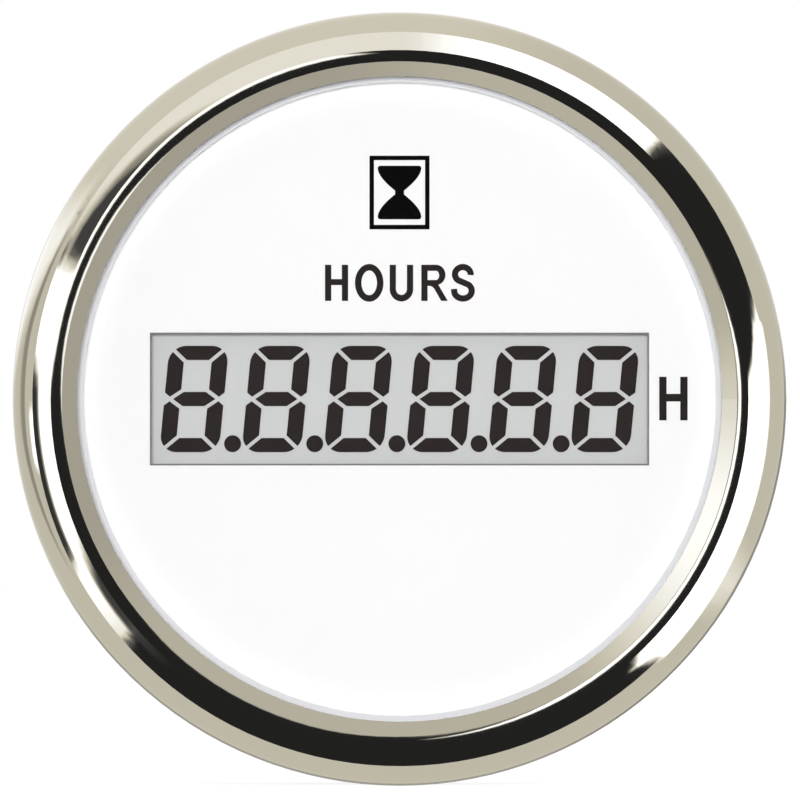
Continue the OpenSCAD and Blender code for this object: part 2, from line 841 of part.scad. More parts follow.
// Split spring washer on the bracket's bridge
module lock_washer(side) {
    split = 0.5;
    outer_r = stud_r * 1.85;
    color("#a5a7a9")
        translate([side * stud_spacing / 2, 0, 0])
            difference() {
                ring(stud_r + free_fit, outer_r, bridge_back_z - washer_t, bridge_back_z);
                translate([0, -split / 2, bridge_back_z - washer_t - cut])
                    cube([outer_r + cut, split, washer_t + 2 * cut]);
            }
}

// Knurled thumb nut with a plain collar towards its washer
module thumb_nut(side) {
    collar_r = nut_d / 2 * 0.72;
    collar_h = nut_h * 0.22;
    edge = 0.5;
    nut_end_z = nut_z - nut_h;
    knurl = [
        for (i = [0:2 * knurl_count - 1])
            let (r = nut_d / 2 - (i % 2) * knurl_depth, a = i * 180 / knurl_count)
            [r * cos(a), r * sin(a)]
    ];
    color("#c4bfae")
        translate([side * stud_spacing / 2, 0, 0])
            difference() {
                union() {
                    intersection() {
                        translate([0, 0, nut_end_z]) linear_extrude(nut_h - collar_h) polygon(knurl);
                        translate([0, 0, nut_end_z]) {
                            cylinder(r1 = nut_d / 2 - edge, r2 = nut_d / 2 + cut, h = edge + cut);
                            translate([0, 0, edge + cut])
                                cylinder(r = nut_d / 2 + cut, h = nut_h - collar_h - edge - cut);
                        }
                    }
                    translate([0, 0, nut_z - collar_h]) cylinder(r = collar_r, h = collar_h);
                }
                translate([0, 0, nut_end_z - cut]) cylinder(r = stud_r + bore_fit, h = nut_h + 2 * cut);
            }
}

upright() bezel();
upright() lens();
upright() lens_seal();
upright() spacer_ring();
upright() dial_plate();
upright() lcd_front_glass();
upright() lcd_segments();
upright() lcd_rear_glass();
upright() lcd_reflector();
upright() light_guide();
upright() lcd_holder();
upright() contact_strip(1);  // contact_strip_upper
upright() contact_strip(-1);  // contact_strip_lower
upright() circuit_board();
upright() backlight_leds();
upright() microcontroller();
upright() memory_chip();
upright() quartz_crystal();
upright() filter_capacitor();
upright() voltage_regulator();
upright() surge_diode();
upright() chip_resistors();
upright() board_screws();
upright() housing();
upright() panel_gasket();
upright() terminal(1);  // terminal_positive
upright() terminal(-1);  // terminal_negative
upright() terminal(0);  // terminal_backlight
upright() stud(-1);  // stud_left
upright() stud(1);  // stud_right
upright() clamp_bracket();
upright() lock_washer(-1);  // lock_washer_left
upright() lock_washer(1);  // lock_washer_right
upright() thumb_nut(-1);  // thumb_nut_left
upright() thumb_nut(1);  // thumb_nut_right
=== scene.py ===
"""Looks of a round panel hour meter: materials, dial print, stud threads, studio and camera."""
import json
import math

from collections import namedtuple

import bpy
from mathutils import Matrix, Vector


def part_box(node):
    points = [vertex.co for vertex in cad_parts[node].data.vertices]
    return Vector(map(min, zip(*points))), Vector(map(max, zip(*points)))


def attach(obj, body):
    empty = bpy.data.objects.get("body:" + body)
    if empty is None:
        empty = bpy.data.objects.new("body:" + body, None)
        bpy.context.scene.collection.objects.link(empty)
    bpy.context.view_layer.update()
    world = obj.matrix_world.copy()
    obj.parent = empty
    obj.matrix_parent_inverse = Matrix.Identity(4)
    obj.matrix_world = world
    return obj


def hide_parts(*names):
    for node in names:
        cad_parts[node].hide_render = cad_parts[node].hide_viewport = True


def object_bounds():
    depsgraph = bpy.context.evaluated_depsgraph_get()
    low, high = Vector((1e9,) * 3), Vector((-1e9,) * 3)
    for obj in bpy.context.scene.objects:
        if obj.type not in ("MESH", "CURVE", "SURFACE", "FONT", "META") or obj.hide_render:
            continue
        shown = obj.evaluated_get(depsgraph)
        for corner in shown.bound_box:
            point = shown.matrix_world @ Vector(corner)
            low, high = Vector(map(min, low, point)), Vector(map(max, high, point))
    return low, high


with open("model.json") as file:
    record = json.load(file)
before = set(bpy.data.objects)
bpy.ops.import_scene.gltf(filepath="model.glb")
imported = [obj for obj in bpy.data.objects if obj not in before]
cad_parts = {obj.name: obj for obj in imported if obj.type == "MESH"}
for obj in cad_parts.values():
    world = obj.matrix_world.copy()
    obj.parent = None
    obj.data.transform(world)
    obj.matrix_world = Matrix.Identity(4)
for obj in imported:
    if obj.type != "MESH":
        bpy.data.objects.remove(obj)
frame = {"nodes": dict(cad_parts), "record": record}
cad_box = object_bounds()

MM = 0.001

# Camera: the frame is 800 pixels wide, and the meter's axis falls a little left of and above its middle
IMAGE_PX = 800
PX_PER_MM = 12.49
CAMERA_DISTANCE = 2.9
CAMERA_CLIP = (0.05, 20.0)
SENSOR_MM = 36.0
AXIS_LEFT_PX = 0.5
AXIS_UP_PX = 1.0

# Share of light that glass throws back at a slant, and a hair's breadth between glass and what it touches
GLASS_GLARE = 0.08
GLASS_GAP = 0.005

# Gloss of printed ink
INK_SHINE = 0.04

# Drift of a surface's tone: its patches next to the grain, how much of it shows, and its depth of tone
DRIFT_SIZE = 24
DRIFT_SHARE = 0.35
DRIFT_TONE = 1.5

# Studio
AMBIENT = 0.22
FLOOR_SIZE = 6.0
FLOOR_ALBEDO = 0.7
FLOOR_GLOW = 0.84
REFLECTOR_DISTANCE = 1.9
EDGE_CARD_DISTANCE = 2.2
REFLECTOR_STEPS = 360

# Lamps: place and size in metres, power in watts
LAMPS = {
    "front": ((-0.05, -2.4, 0.05), 0.45, 60.5),
    "key": ((-0.9, -1.6, 1.0), 1.2, 1.5),
    "back": ((0.6, 1.5, 1.1), 1.4, 12.0),
}

# Tint of the cards, with the levels of brightness where it starts and is full
COOL = (0.97, 1.02, 1.2, 1.0)
COOL_BELOW = (0.4, 0.1)
COOL_ABOVE = (1.1, 1.9)

# Print on the dial, in mm from the meter's axis
PRINT_T = 0.03
PRINT_SINK = 0.01
CAP_BASE = 7.872
CAP_HEIGHT = 2.897
LETTER_STROKE = 0.503
SIGN_MIDDLE = 16.57
ARC_STEPS = 48

# Studs: M4 thread
THREAD_PITCH = 0.7
THREAD_DEPTH = 0.43
THREAD_CREST = 0.125
THREAD_ROOT = 0.25
THREAD_COLUMNS = 40
ROWS_PER_PITCH = 12
STUD_HEAD_T = 2.4
STUD_CHAMFER = 0.4
# The hexagonal head's width across flats, next to the shank's diameter
HEAD_PER_SHANK = 1.75
# Edges of the stud that turn by more than this, in degrees, stay sharp
STUD_SHARP = 35

# Sockets of the colour mix node: share, first and second colour, and what comes out
MIX_SHARE, MIX_FIRST, MIX_SECOND = 0, 6, 7
MIX_OUT = 2


def linear(red, green, blue):
    """A colour given as 0 to 255 screen values, as linear values."""
    def channel(value):
        v = value / 255
        return v / 12.92 if v <= 0.04045 else ((v + 0.055) / 1.055) ** 2.4
    return (channel(red), channel(green), channel(blue), 1.0)


def shade(colour, factor):
    """A lighter or darker copy of a linear colour."""
    return tuple(min(1.0, c * factor) for c in colour[:3]) + (1.0,)


class Shader:
    """A material's node tree with short ways to add and join nodes."""

    def __init__(self, name):
        self.material = bpy.data.materials.new(name)
        self.material.use_nodes = True
        self.tree = self.material.node_tree
        self.surface = self.tree.nodes["Principled BSDF"]
        self.output = self.tree.nodes["Material Output"]

    def add(self, kind, inputs=None, **settings):
        node = self.tree.nodes.new(kind)
        for key, value in settings.items():
            setattr(node, key, value)
        for socket, value in (inputs or {}).items():
            if isinstance(value, bpy.types.NodeSocket):
                self.tree.links.new(value, node.inputs[socket])
            else:
                node.inputs[socket].default_value = value
        return node

    def join(self, source, target):
        self.tree.links.new(source, target)

    def place(self, stretch=(1, 1, 1)):
        """The surface's own coordinates in metres, stretched along the axes."""
        coordinates = self.add("ShaderNodeTexCoord").outputs["Object"]
        return self.add("ShaderNodeMapping", {"Vector": coordinates, "Scale": stretch}).outputs["Vector"]

    def noise(self, place, size, detail=3.0):
        """Noise whose patches are about size metres wide."""
        return self.add("ShaderNodeTexNoise",
                        {"Vector": place, "Scale": 1 / size, "Detail": detail}).outputs["Fac"]

    def spread(self, value, low, high):
        """A value from 0 to 1 as one from low to high."""
        ends = {"Value": value, "To Min": low, "To Max": high}
        return self.add("ShaderNodeMapRange", ends).outputs["Result"]

    def blend(self, share, first, second):
        """First colour where share is 0, second where it is 1."""
        mix = self.add("ShaderNodeMix", data_type="RGBA")
        for index, value in ((MIX_SHARE, share), (MIX_FIRST, first), (MIX_SECOND, second)):
            if isinstance(value, bpy.types.NodeSocket):
                self.join(value, mix.inputs[index])
            else:
                mix.inputs[index].default_value = value
        return mix.outputs[MIX_OUT]

    def relief(self, height, depth, strength=1.0):
        """Bump of the given depth in metres."""
        bump = self.add("ShaderNodeBump", {"Height": height, "Distance": depth, "Strength": strength})
        self.join(bump.outputs["Normal"], self.surface.inputs["Normal"])

    def set(self, **values):
        for key, value in values.items():
            self.surface.inputs[key.replace("_", " ")].default_value = value


def grained(name, colour, roughness, size=0.0003, tone=0.08, gloss=0.08, depth=4e-6, metal=0.0,
            stretch=(1, 1, 1)):
    """A surface with grain in its colour, gloss and relief, and a broad drift of tone over it."""
    s = Shader(name)
    place = s.place(stretch)
    grain = s.noise(place, size)
    drift = s.noise(place, size * DRIFT_SIZE, 2.0)
    fine = s.blend(grain, shade(colour, 1 - tone), shade(colour, 1 + tone))
    drifted = s.blend(s.spread(drift, 0.0, DRIFT_SHARE), fine, shade(colour, 1 - DRIFT_TONE * tone))
    s.join(drifted, s.surface.inputs["Base Color"])
    s.join(s.spread(drift, roughness - gloss, roughness + gloss), s.surface.inputs["Roughness"])
    s.relief(grain, depth)
    s.set(Metallic=metal)
    return s


def bezel_metal(name):
    """Polished plated steel with hair-fine polishing marks."""
    return grained(name, linear(190, 184, 166), 0.019, size=0.0006, tone=0.012, gloss=0.007, depth=2e-8,
                   metal=1.0)


def clear_sheet(name, tint):
    """A clear plate: what lies behind shows through, and its faces reflect more the flatter they are seen."""
    s = Shader(name)
    haze = s.noise(s.place(), 0.004, 1.0)
    gloss = s.add("ShaderNodeBsdfGlossy", {"Roughness": s.spread(haze, 0.01, 0.05)})
    clear = s.add("ShaderNodeBsdfTransparent", {"Color": tint})
    angle = s.add("ShaderNodeLayerWeight", {"Blend": GLASS_GLARE})
    mix = s.add("ShaderNodeMixShader", {0: angle.outputs["Facing"], 1: clear.outputs[0], 2: gloss.outputs[0]})
    s.join(mix.outputs[0], s.output.inputs["Surface"])
    s.tree.nodes.remove(s.surface)
    return s


def lens_clear(name):
    return clear_sheet(name, (1.0, 1.0, 1.0, 1.0))


def display_glass(name):
    return clear_sheet(name, (0.99, 0.995, 0.99, 1.0))


def black_rubber(name):
    return grained(name, linear(30, 30, 31), 0.72, size=0.0002, tone=0.2, depth=6e-6)


def pale_plastic(name):
    return grained(name, linear(235, 235, 238), 0.45, size=0.0002, tone=0.015, depth=1e-6)


def dial_white(name):
    return grained(name, linear(249, 249, 248), 0.6, size=0.00012, tone=0.006, gloss=0.05, depth=1e-6)


def matt_ink(name, colour):
    """Printed ink, hardly glossy."""
    s = grained(name, colour, 0.6, size=0.00015, tone=0.1, depth=5e-7)
    s.set(Specular_IOR_Level=INK_SHINE)
    return s


def display_ink(name):
    return matt_ink(name, linear(51, 45, 44))


def display_ground(name):
    """Grey ground of the display, with the faint slanting lines of its polariser."""
    s = Shader(name)
    waves = s.add("ShaderNodeTexWave",
                  {"Vector": s.place((1, 1, 0.6)), "Scale": 9000.0, "Distortion": 3.0, "Detail": 2.0},
                  bands_direction="DIAGONAL")
    lines = waves.outputs["Fac"]
    ground = linear(216, 215, 216)
    s.join(s.blend(lines, shade(ground, 0.985), shade(ground, 1.015)), s.surface.inputs["Base Color"])
    s.join(s.spread(lines, 0.5, 0.6), s.surface.inputs["Roughness"])
    s.relief(lines, 3e-7)
    return s


def reflector_film(name):
    return grained(name, linear(205, 206, 208), 0.35, size=0.0003, metal=1.0, stretch=(0.05, 1, 1))


def guide_acrylic(name):
    """Frosted light guide with rows of moulded dots."""
    s = Shader(name)
    pattern = s.add("ShaderNodeTexVoronoi", {"Vector": s.place(), "Scale": 1400.0, "Randomness": 0.1})
    dots = pattern.outputs["Distance"]
    frost = linear(228, 231, 228)
    s.join(s.blend(dots, shade(frost, 1.05), shade(frost, 0.85)), s.surface.inputs["Base Color"])
    s.join(s.spread(dots, 0.3, 0.5), s.surface.inputs["Roughness"])
    s.relief(dots, 2e-5)
    return s


def holder_plastic(name):
    return grained(name, linear(214, 210, 200), 0.5, size=0.00025, tone=0.03)


def contact_rubber(name):
    """Rubber strip with thin conductive layers across it."""
    s = Shader(name)
    waves = s.add("ShaderNodeTexWave", {"Vector": s.place(), "Scale": 1600.0}, bands_direction="X")
    layers = waves.outputs["Fac"]
    s.join(s.blend(layers, linear(28, 28, 30), linear(150, 150, 152)), s.surface.inputs["Base Color"])
    s.join(s.spread(layers, 0.5, 0.75), s.surface.inputs["Roughness"])
    s.relief(layers, 4e-6)
    return s


def board_green(name):
    """Solder mask over copper tracks."""
    s = Shader(name)
    black, white = (0, 0, 0, 1), (1, 1, 1, 1)
    tracks = s.add("ShaderNodeTexBrick", {"Vector": s.place(), "Scale": 160.0, "Mortar Size": 0.045,
                                          "Color1": black, "Color2": black, "Mortar": white})
    lines = tracks.outputs["Color"]
    s.join(s.blend(lines, linear(20, 96, 52), linear(52, 140, 80)), s.surface.inputs["Base Color"])
    s.join(s.spread(s.noise(s.place(), 0.002), 0.25, 0.4), s.surface.inputs["Roughness"])
    s.relief(lines, 2e-5)
    return s


def led_yellow(name):
    return grained(name, linear(240, 214, 120), 0.3, size=0.0002, tone=0.1)


def chip_black(name):
    return grained(name, linear(44, 45, 48), 0.6, size=0.00012, tone=0.15, depth=5e-6)


def can_metal(name):
    return grained(name, linear(190, 193, 198), 0.32, size=0.0002, tone=0.04, metal=1.0, stretch=(1, 0.08, 1))


def screw_steel(name):
    return grained(name, linear(178, 178, 176), 0.35, size=0.0002, tone=0.06, metal=1.0)


def housing_black(name):
    """Moulded black plastic with a fine spark-eroded grain."""
    return grained(name, linear(27, 28, 30), 0.5, size=0.00028, tone=0.18, gloss=0.07, depth=9e-6)


def terminal_brass(name):
    """Stamped brass with rolling marks along the tab and a little tarnish."""
    return grained(name, linear(222, 190, 120), 0.3, size=0.00025, tone=0.06, gloss=0.08, metal=1.0,
                   depth=3e-6, stretch=(1, 0.05, 1))


def stud_steel(name):
    return grained(name, linear(203, 200, 190), 0.3, size=0.0002, tone=0.05, metal=1.0)


def bracket_steel(name):
    """Zinc-plated sheet with the soft patches of its plating."""
    return grained(name, linear(200, 202, 204), 0.36, size=0.0004, tone=0.035, gloss=0.06, depth=2.5e-6,
                   metal=1.0, stretch=(1, 0.3, 0.08))


def washer_steel(name):
    return grained(name, linear(150, 151, 153), 0.36, size=0.0002, tone=0.08, metal=1.0)


def nut_nickel(name):
    return grained(name, linear(214, 208, 192), 0.22, size=0.00025, tone=0.04, gloss=0.06, metal=1.0)


LOOKS = {
    look.__name__: look for look in (
        bezel_metal, lens_clear, black_rubber, pale_plastic, dial_white, display_glass, display_ink,
        display_ground, reflector_film, guide_acrylic, holder_plastic, contact_rubber, board_green,
        led_yellow, chip_black, can_metal, screw_steel, housing_black, terminal_brass, stud_steel,
        bracket_steel, washer_steel, nut_nickel)
}
materials = {slot: look(slot).material for slot, look in LOOKS.items()}


def dress_nodes():
    """Gives every CAD node the material of its slot in the record."""
    for row in frame["record"]["subparts"]:
        frame["nodes"][row["node"]].material_slots[0].material = materials[row["material_slot"]]


def part_glass():
    """Draws the clear plates in by a hair's breadth, so that their faces lie in no other piece's face."""
    for node in ("lens", "lcd_front_glass"):
        gap = frame["nodes"][node].modifiers.new("gap", "DISPLACE")
        gap.mid_level = 0.0
        gap.strength = -GLASS_GAP * MM


def link_object(name, mesh, material):
    obj = bpy.data.objects.new(name, mesh)
    bpy.context.scene.collection.objects.link(obj)
    mesh.materials.clear()
    mesh.materials.append(material)
    return obj


def arc(middle, half_w, half_h, start, end, steps=ARC_STEPS):
    """Points along part of an ellipse, with angles in degrees from +x."""
    turns = [math.radians(start + (end - start) * i / steps) for i in range(steps + 1)]
    return [(middle[0] + half_w * math.cos(t), middle[1] + half_h * math.sin(t)) for t in turns]


def cubic(p0, p1, p2, p3, steps=16):
    """Points along a cubic curve with the given ends and handles."""
    points = []
    for i in range(steps + 1):
        t = i / steps
        weights = ((1 - t) ** 3, 3 * t * (1 - t) ** 2, 3 * t * t * (1 - t), t ** 3)
        points.append(tuple(sum(w * p[k] for w, p in zip(weights, (p0, p1, p2, p3))) for k in (0, 1)))
    return points


def stroke(path, width):
    """Outline of a line of the given width along an open path."""
    sides = ([], [])
    for i, point in enumerate(path):
        before, after = path[max(i - 1, 0)], path[min(i + 1, len(path) - 1)]
        along = Vector((after[0] - before[0], after[1] - before[1])).normalized()
        across = Vector((-along.y, along.x)) * width / 2
        sides[0].append((point[0] + across.x, point[1] + across.y))
        sides[1].append((point[0] - across.x, point[1] - across.y))
    return sides[0] + sides[1][::-1]


def moved(points, x, z):
    return [(p[0] + x, p[1] + z) for p in points]


def rectangle(x0, z0, x1, z1):
    return [(x0, z0), (x1, z0), (x1, z1), (x0, z1)]


def letter_h(x0, x1, z0, z1, post, bar_low, bar_high):
    inner0, inner1 = x0 + post, x1 - post
    return [(x0, z0), (inner0, z0), (inner0, bar_low), (inner1, bar_low), (inner1, z0), (x1, z0),
            (x1, z1), (inner1, z1), (inner1, bar_high), (inner0, bar_high), (inner0, z1), (x0, z1)]


def plate(name, outlines, material):
    """A thin printed plate on the dial, from outlines in mm. An outline inside another is a hole."""
    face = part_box("dial_plate")[0].y
    curve = bpy.data.curves.new(name, "CURVE")
    curve.dimensions = "2D"
    curve.fill_mode = "BOTH"
    curve.extrude = PRINT_T / 2 * MM
    for outline in outlines:
        spline = curve.splines.new("POLY")
        spline.points.add(len(outline) - 1)
        for point, (x, z) in zip(spline.points, outline):
            point.co = (x * MM, z * MM, 0, 1)
        spline.use_cyclic_u = True
    drawn = bpy.data.objects.new(name, curve)
    bpy.context.scene.collection.objects.link(drawn)
    mesh = bpy.data.meshes.new_from_object(drawn.evaluated_get(bpy.context.evaluated_depsgraph_get()))
    bpy.data.objects.remove(drawn)
    bpy.data.curves.remove(curve)
    middle = face + (PRINT_SINK - PRINT_T / 2) * MM
    mesh.transform(Matrix.Translation((0, middle, 0)) @ Matrix.Rotation(math.pi / 2, 4, "X"))
    obj = link_object(name, mesh, material)
    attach(obj, "gauge")
    return obj


def word_h():
    return [letter_h(-5.978, -4.124, 0, CAP_HEIGHT, LETTER_STROKE, 1.272, 1.752)]


def word_o():
    middle = (-2.431, CAP_HEIGHT / 2)
    outside, inside = (1.146, 1.518), (0.625, 0.992)
    return [arc(middle, *half, 0, 360)[:-1] for half in (outside, inside)]


def word_u():
    middle_x = 0.156
    half_w = 0.943
    inner_w = half_w - LETTER_STROKE
    turn = (0, 0.95)
    outside = [(-half_w, CAP_HEIGHT)] + arc(turn, half_w, 0.996, 180, 360) + [(half_w, CAP_HEIGHT)]
    inside = [(inner_w, CAP_HEIGHT)] + arc(turn, inner_w, 0.47, 360, 180) + [(-inner_w, CAP_HEIGHT)]
    return [moved(outside + inside, middle_x, 0)]


def word_r():
    left = 1.749
    bowl_x = 1.171
    leg = [(2.127, 0), (1.59, 0), (1.04, 0.98), (0.86, 1.15), (0.70, 1.20)]
    bowl = arc((bowl_x, 2.089), 0.765, 0.816, 90, -75)
    outside = [(0, 0), (0, CAP_HEIGHT)] + bowl + leg + [(LETTER_STROKE, 1.20), (LETTER_STROKE, 0)]
    eye = [(LETTER_STROKE, 1.677), (LETTER_STROKE, 2.413)] + arc((bowl_x, 2.045), 0.255, 0.368, 90, -90)
    return [moved(outside, left, 0), moved(eye, left, 0)]


def word_s():
    left = 4.162
    upper = arc((0.92, 2.13), 0.63, 0.586, -6, 235)
    lower = arc((0.93, 0.81), 0.705, 0.618, 55, -180)
    end = (0.216, 0.96)
    return [moved(stroke(upper + lower + [end], LETTER_STROKE), left, 0)]


def hours_word(ink):
    """The word over the counter, letter by letter."""
    outlines = word_h() + word_o() + word_u() + word_r() + word_s()
    return plate("hours_word", [moved(outline, 0, CAP_BASE) for outline in outlines], ink)


def unit_letter(ink):
    """The letter after the counter."""
    left, right, low, high = 20.84, 23.115, -1.71, 1.785
    post = 0.588
    outline = letter_h(left, right, low, high, post, bar_low=-0.195, bar_high=0.413)
    return plate("unit_letter", [outline], ink)


def hourglass_sign(ink):
    """The framed hourglass over the word."""
    frame_w, frame_h, frame_line = 2.408, 2.953, 0.358
    quarter = [(0.36, 0)] + cubic((0.36, 0.15), (0.80, 0.50), (1.58, 1.15), (1.73, 1.80))
    quarter += cubic((1.73, 1.80), (1.78, 1.99), (1.73, 2.15), (1.52, 2.15), steps=8)[1:]
    right = [(w, -d) for w, d in quarter[:0:-1]] + quarter
    glass = right + [(-w, d) for w, d in right[::-1]]
    inner_w, inner_h = frame_w - frame_line, frame_h - frame_line
    outlines = [rectangle(-frame_w, -frame_h, frame_w, frame_h),
                rectangle(-inner_w, -inner_h, inner_w, inner_h), glass]
    return plate("hourglass_sign", [moved(o, 0, SIGN_MIDDLE) for o in outlines], ink)


def window_line(ink):
    """The thin line printed round the counter's window."""
    line = 0.13
    half_w, half_h = 19.9, 5.2
    return plate("window_line", [rectangle(-half_w - line, -half_h - line, half_w + line, half_h + line),
                                 rectangle(-half_w, -half_h, half_w, half_h)], ink)


def thread_radius(turns, crest_r):
    """Radius of a thread at a distance along it, counted in pitches."""
    across = abs((turns % 1.0) - 0.5) * 2
    flank = (across - THREAD_ROOT) / (1 - THREAD_ROOT - THREAD_CREST)
    return crest_r - THREAD_DEPTH * (1 - min(1.0, max(0.0, flank)))


def hexagon(corner_r, y):
    turns = [math.pi / 3 * k for k in range(6)]
    return [(corner_r * math.cos(t), y, corner_r * math.sin(t)) for t in turns]


def stud_head(corner_r, low_y, neck):
    """Points and faces of a hexagonal head."""
    faces = [tuple(range(6)), tuple(range(11, 5, -1))]
    faces += [(k, k + 6, (k + 1) % 6 + 6, (k + 1) % 6) for k in range(6)]
    return hexagon(corner_r, low_y) + hexagon(corner_r, neck), faces


def stud_thread(crest_r, neck, tip, first):
    """Points and faces of a threaded shank with a chamfered tip. Its points are counted from first."""
    n = THREAD_COLUMNS
    rows = round((tip - neck) / THREAD_PITCH * ROWS_PER_PITCH)
    verts, faces = [], []
    for j in range(rows + 1):
        y = neck + (tip - neck) * j / rows
        taper = crest_r - max(0.0, y - (tip - STUD_CHAMFER))
        for k in range(n):
            turn = k / n
            r = min(taper, thread_radius(y / THREAD_PITCH - turn, crest_r))
            verts.append((r * math.cos(2 * math.pi * turn), y, r * math.sin(2 * math.pi * turn)))
    for j in range(rows):
        for k in range(n):
            a, b = first + j * n + k, first + j * n + (k + 1) % n
            faces.append((a, a + n, b + n, b))
    last = first + rows * n
    faces.append(tuple(range(last + n - 1, last - 1, -1)))
    faces.append(tuple(range(first, first + n)))
    return verts, faces


def threaded_stud(side):
    """A stud with its hexagonal head and a true thread, in place of the plain one."""
    node = f"stud_{side}"
    low, high = (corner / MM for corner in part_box(node))
    middle_x = (low.x + high.x) / 2
    neck = low.y + STUD_HEAD_T
    crest_r = (high.z - low.z) / 2 / HEAD_PER_SHANK
    head_verts, head_faces = stud_head((high.x - low.x) / 2, low.y, neck)
    shank_verts, shank_faces = stud_thread(crest_r, neck, high.y, len(head_verts))
    verts = [((x + middle_x) * MM, y * MM, z * MM) for x, y, z in head_verts + shank_verts]
    mesh = bpy.data.meshes.new(f"threaded_{node}")
    mesh.from_pydata(verts, [], head_faces + shank_faces)
    mesh.validate()
    mesh.shade_smooth()
    mesh.set_sharp_from_angle(angle=math.radians(STUD_SHARP))
    obj = link_object(f"threaded_{node}", mesh, materials["stud_steel"])
    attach(obj, "gauge")
    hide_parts(node)
    return obj


def glow_material(name):
    """Emission whose strength is the mesh's own level attribute.

    Deep shade and bright windows are cooler than the grey of the room.
    """
    s = Shader(name)
    level = s.add("ShaderNodeAttribute", attribute_name="level").outputs["Fac"]
    shade_share, window_share = (
        s.add("ShaderNodeMapRange", {"Value": level, "From Min": start, "From Max": full}).outputs["Result"]
        for start, full in (COOL_BELOW, COOL_ABOVE))
    cool_share = s.add("ShaderNodeMath", {0: shade_share, 1: window_share}, operation="MAXIMUM").outputs[0]
    light = s.add("ShaderNodeEmission", {"Color": s.blend(cool_share, (1, 1, 1, 1), COOL), "Strength": level})
    s.join(light.outputs[0], s.output.inputs["Surface"])
    s.tree.nodes.remove(s.surface)
    return s.material


# A panel of light or shade: the hours at which the bezel shows it, at its near and far angle off the line of
# sight, those angles, its brightness next to white, and how softly it ends
Panel = namedtuple("Panel", "near far angles level soft_hours soft_angle", defaults=(0.08, 2.0))


def ramp(value):
    """Eases from 0 to 1."""
    t = min(1.0, max(0.0, value))
    return t * t * (3 - 2 * t)


def cover(panel, hour, angle):
    """Share of a panel at an hour and an angle."""
    low, high = panel.angles
    t = min(1.0, max(0.0, (angle - low) / (high - low)))
    begin, end = (n + (f - n) * t for n, f in zip(panel.near, panel.far))
    off = abs((hour - (begin + end) / 2 + 6) % 12 - 6)
    share = ramp(((end - begin) / 2 - off) / panel.soft_hours + 0.5)
    share *= ramp((angle - low) / panel.soft_angle + 0.5)
    return share * ramp((high - angle) / panel.soft_angle + 0.5)


def lit_by(panels, base, hour, angle):
    """Brightness of a card at an hour and an angle, where panels lie one on another over its base."""
    level = base
    for panel in panels:
        level += (panel.level - level) * cover(panel, hour, angle)
    return level


def only_mirrored(card):
    """Hides a stage piece from every ray but glossy ones, so that only metal and glass see it."""
    card.visible_camera = card.visible_diffuse = card.visible_transmission = False
    card.visible_shadow = card.visible_volume_scatter = False


CARD_HOURS = [12 * k / REFLECTOR_STEPS for k in range(REFLECTOR_STEPS)]


def card(name, rows, levels):
    """A stage card round the axis. Each row is a radius and a place along Y, with its brightness by hour."""
    verts = [(r * math.sin(math.radians(30 * hour)), y, r * math.cos(math.radians(30 * hour)))
             for r, y in rows for hour in CARD_HOURS]
    n = REFLECTOR_STEPS
    faces = [(j * n + k, j * n + (k + 1) % n, (j + 1) * n + (k + 1) % n, (j + 1) * n + k)
             for j in range(len(rows) - 1) for k in range(n)]
    mesh = bpy.data.meshes.new(name)
    mesh.from_pydata(verts, [], faces)
    mesh.attributes.new("level", "FLOAT", "POINT").data.foreach_set("value", sum(levels, []))
    only_mirrored(link_object(name, mesh, glow_material(name)))


def reflector(name, angles, level, distance=REFLECTOR_DISTANCE):
    """A curved card round the line of sight.

    angles are its rows in degrees off the line of sight, and level(hour, angle) its brightness.
    """
    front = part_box("bezel")[0].y
    turns = [math.radians(a) for a in angles]
    rows = [(distance * math.sin(t), front - distance * math.cos(t)) for t in turns]
    card(name, rows, [[level(hour, a) for hour in CARD_HOURS] for a in angles])


CREST_BASE = 1.5
CREST_PANELS = (
    Panel((0.25, 2.0), (0.25, 2.0), (-3, 34), 2.6, 0.5),
    Panel((7.8, 9.3), (7.8, 9.3), (-3, 34), 2.6, 0.6),
    Panel((8.5, 9.73), (8.5, 9.76), (-3, 34), 2.6, 0.12),
    Panel((1.5, 7.61), (1.5, 7.65), (-3, 34), 0.03, 0.09),
    Panel((2.45, 4.44), (2.72, 4.63), (-0.5, 15), 2.8, 0.09, 0.4),
    Panel((2.72, 4.63), (3.08, 4.5), (15, 32), 2.8, 0.09, 0.4),
    Panel((7.5, 8.0), (7.5, 8.55), (17, 36), 0.1, 0.4, 6),
    Panel((8.02, 9.37), (8.12, 9.1), (-2, 8.5), 0.06, 0.18, 2.6),
    Panel((8.1, 9.87), (8.1, 9.87), (-2, 2.6), 0.12, 0.1, 1.2),
    Panel((8.58, 9.0), (8.62, 8.95), (-2, 2.6), 2.6, 0.12, 1.2),
    Panel((9.7, 9.87), (9.72, 9.85), (-2, 6), 0.25, 0.1, 2),
    Panel((9.8, 9.95), (9.8, 11.05), (5, 27.5), 0.5, 0.5, 9),
    Panel((9.76, 9.9), (9.76, 10.6), (8, 27.5), 0.1, 0.17, 8),
    Panel((9.7, 11.4), (9.7, 11.4), (27.5, 34), 2.4, 0.2, 1.5),
)
LIP_BASE = 0.88
LIP_PANELS = (
    Panel((3.12, 4.42), (3.12, 4.42), (30, 50), 2.1, 1.35),
    Panel((7.9, 12.0), (7.9, 12.0), (30, 50), 0.69, 1.0),
)
EDGE_BASE = 1.0
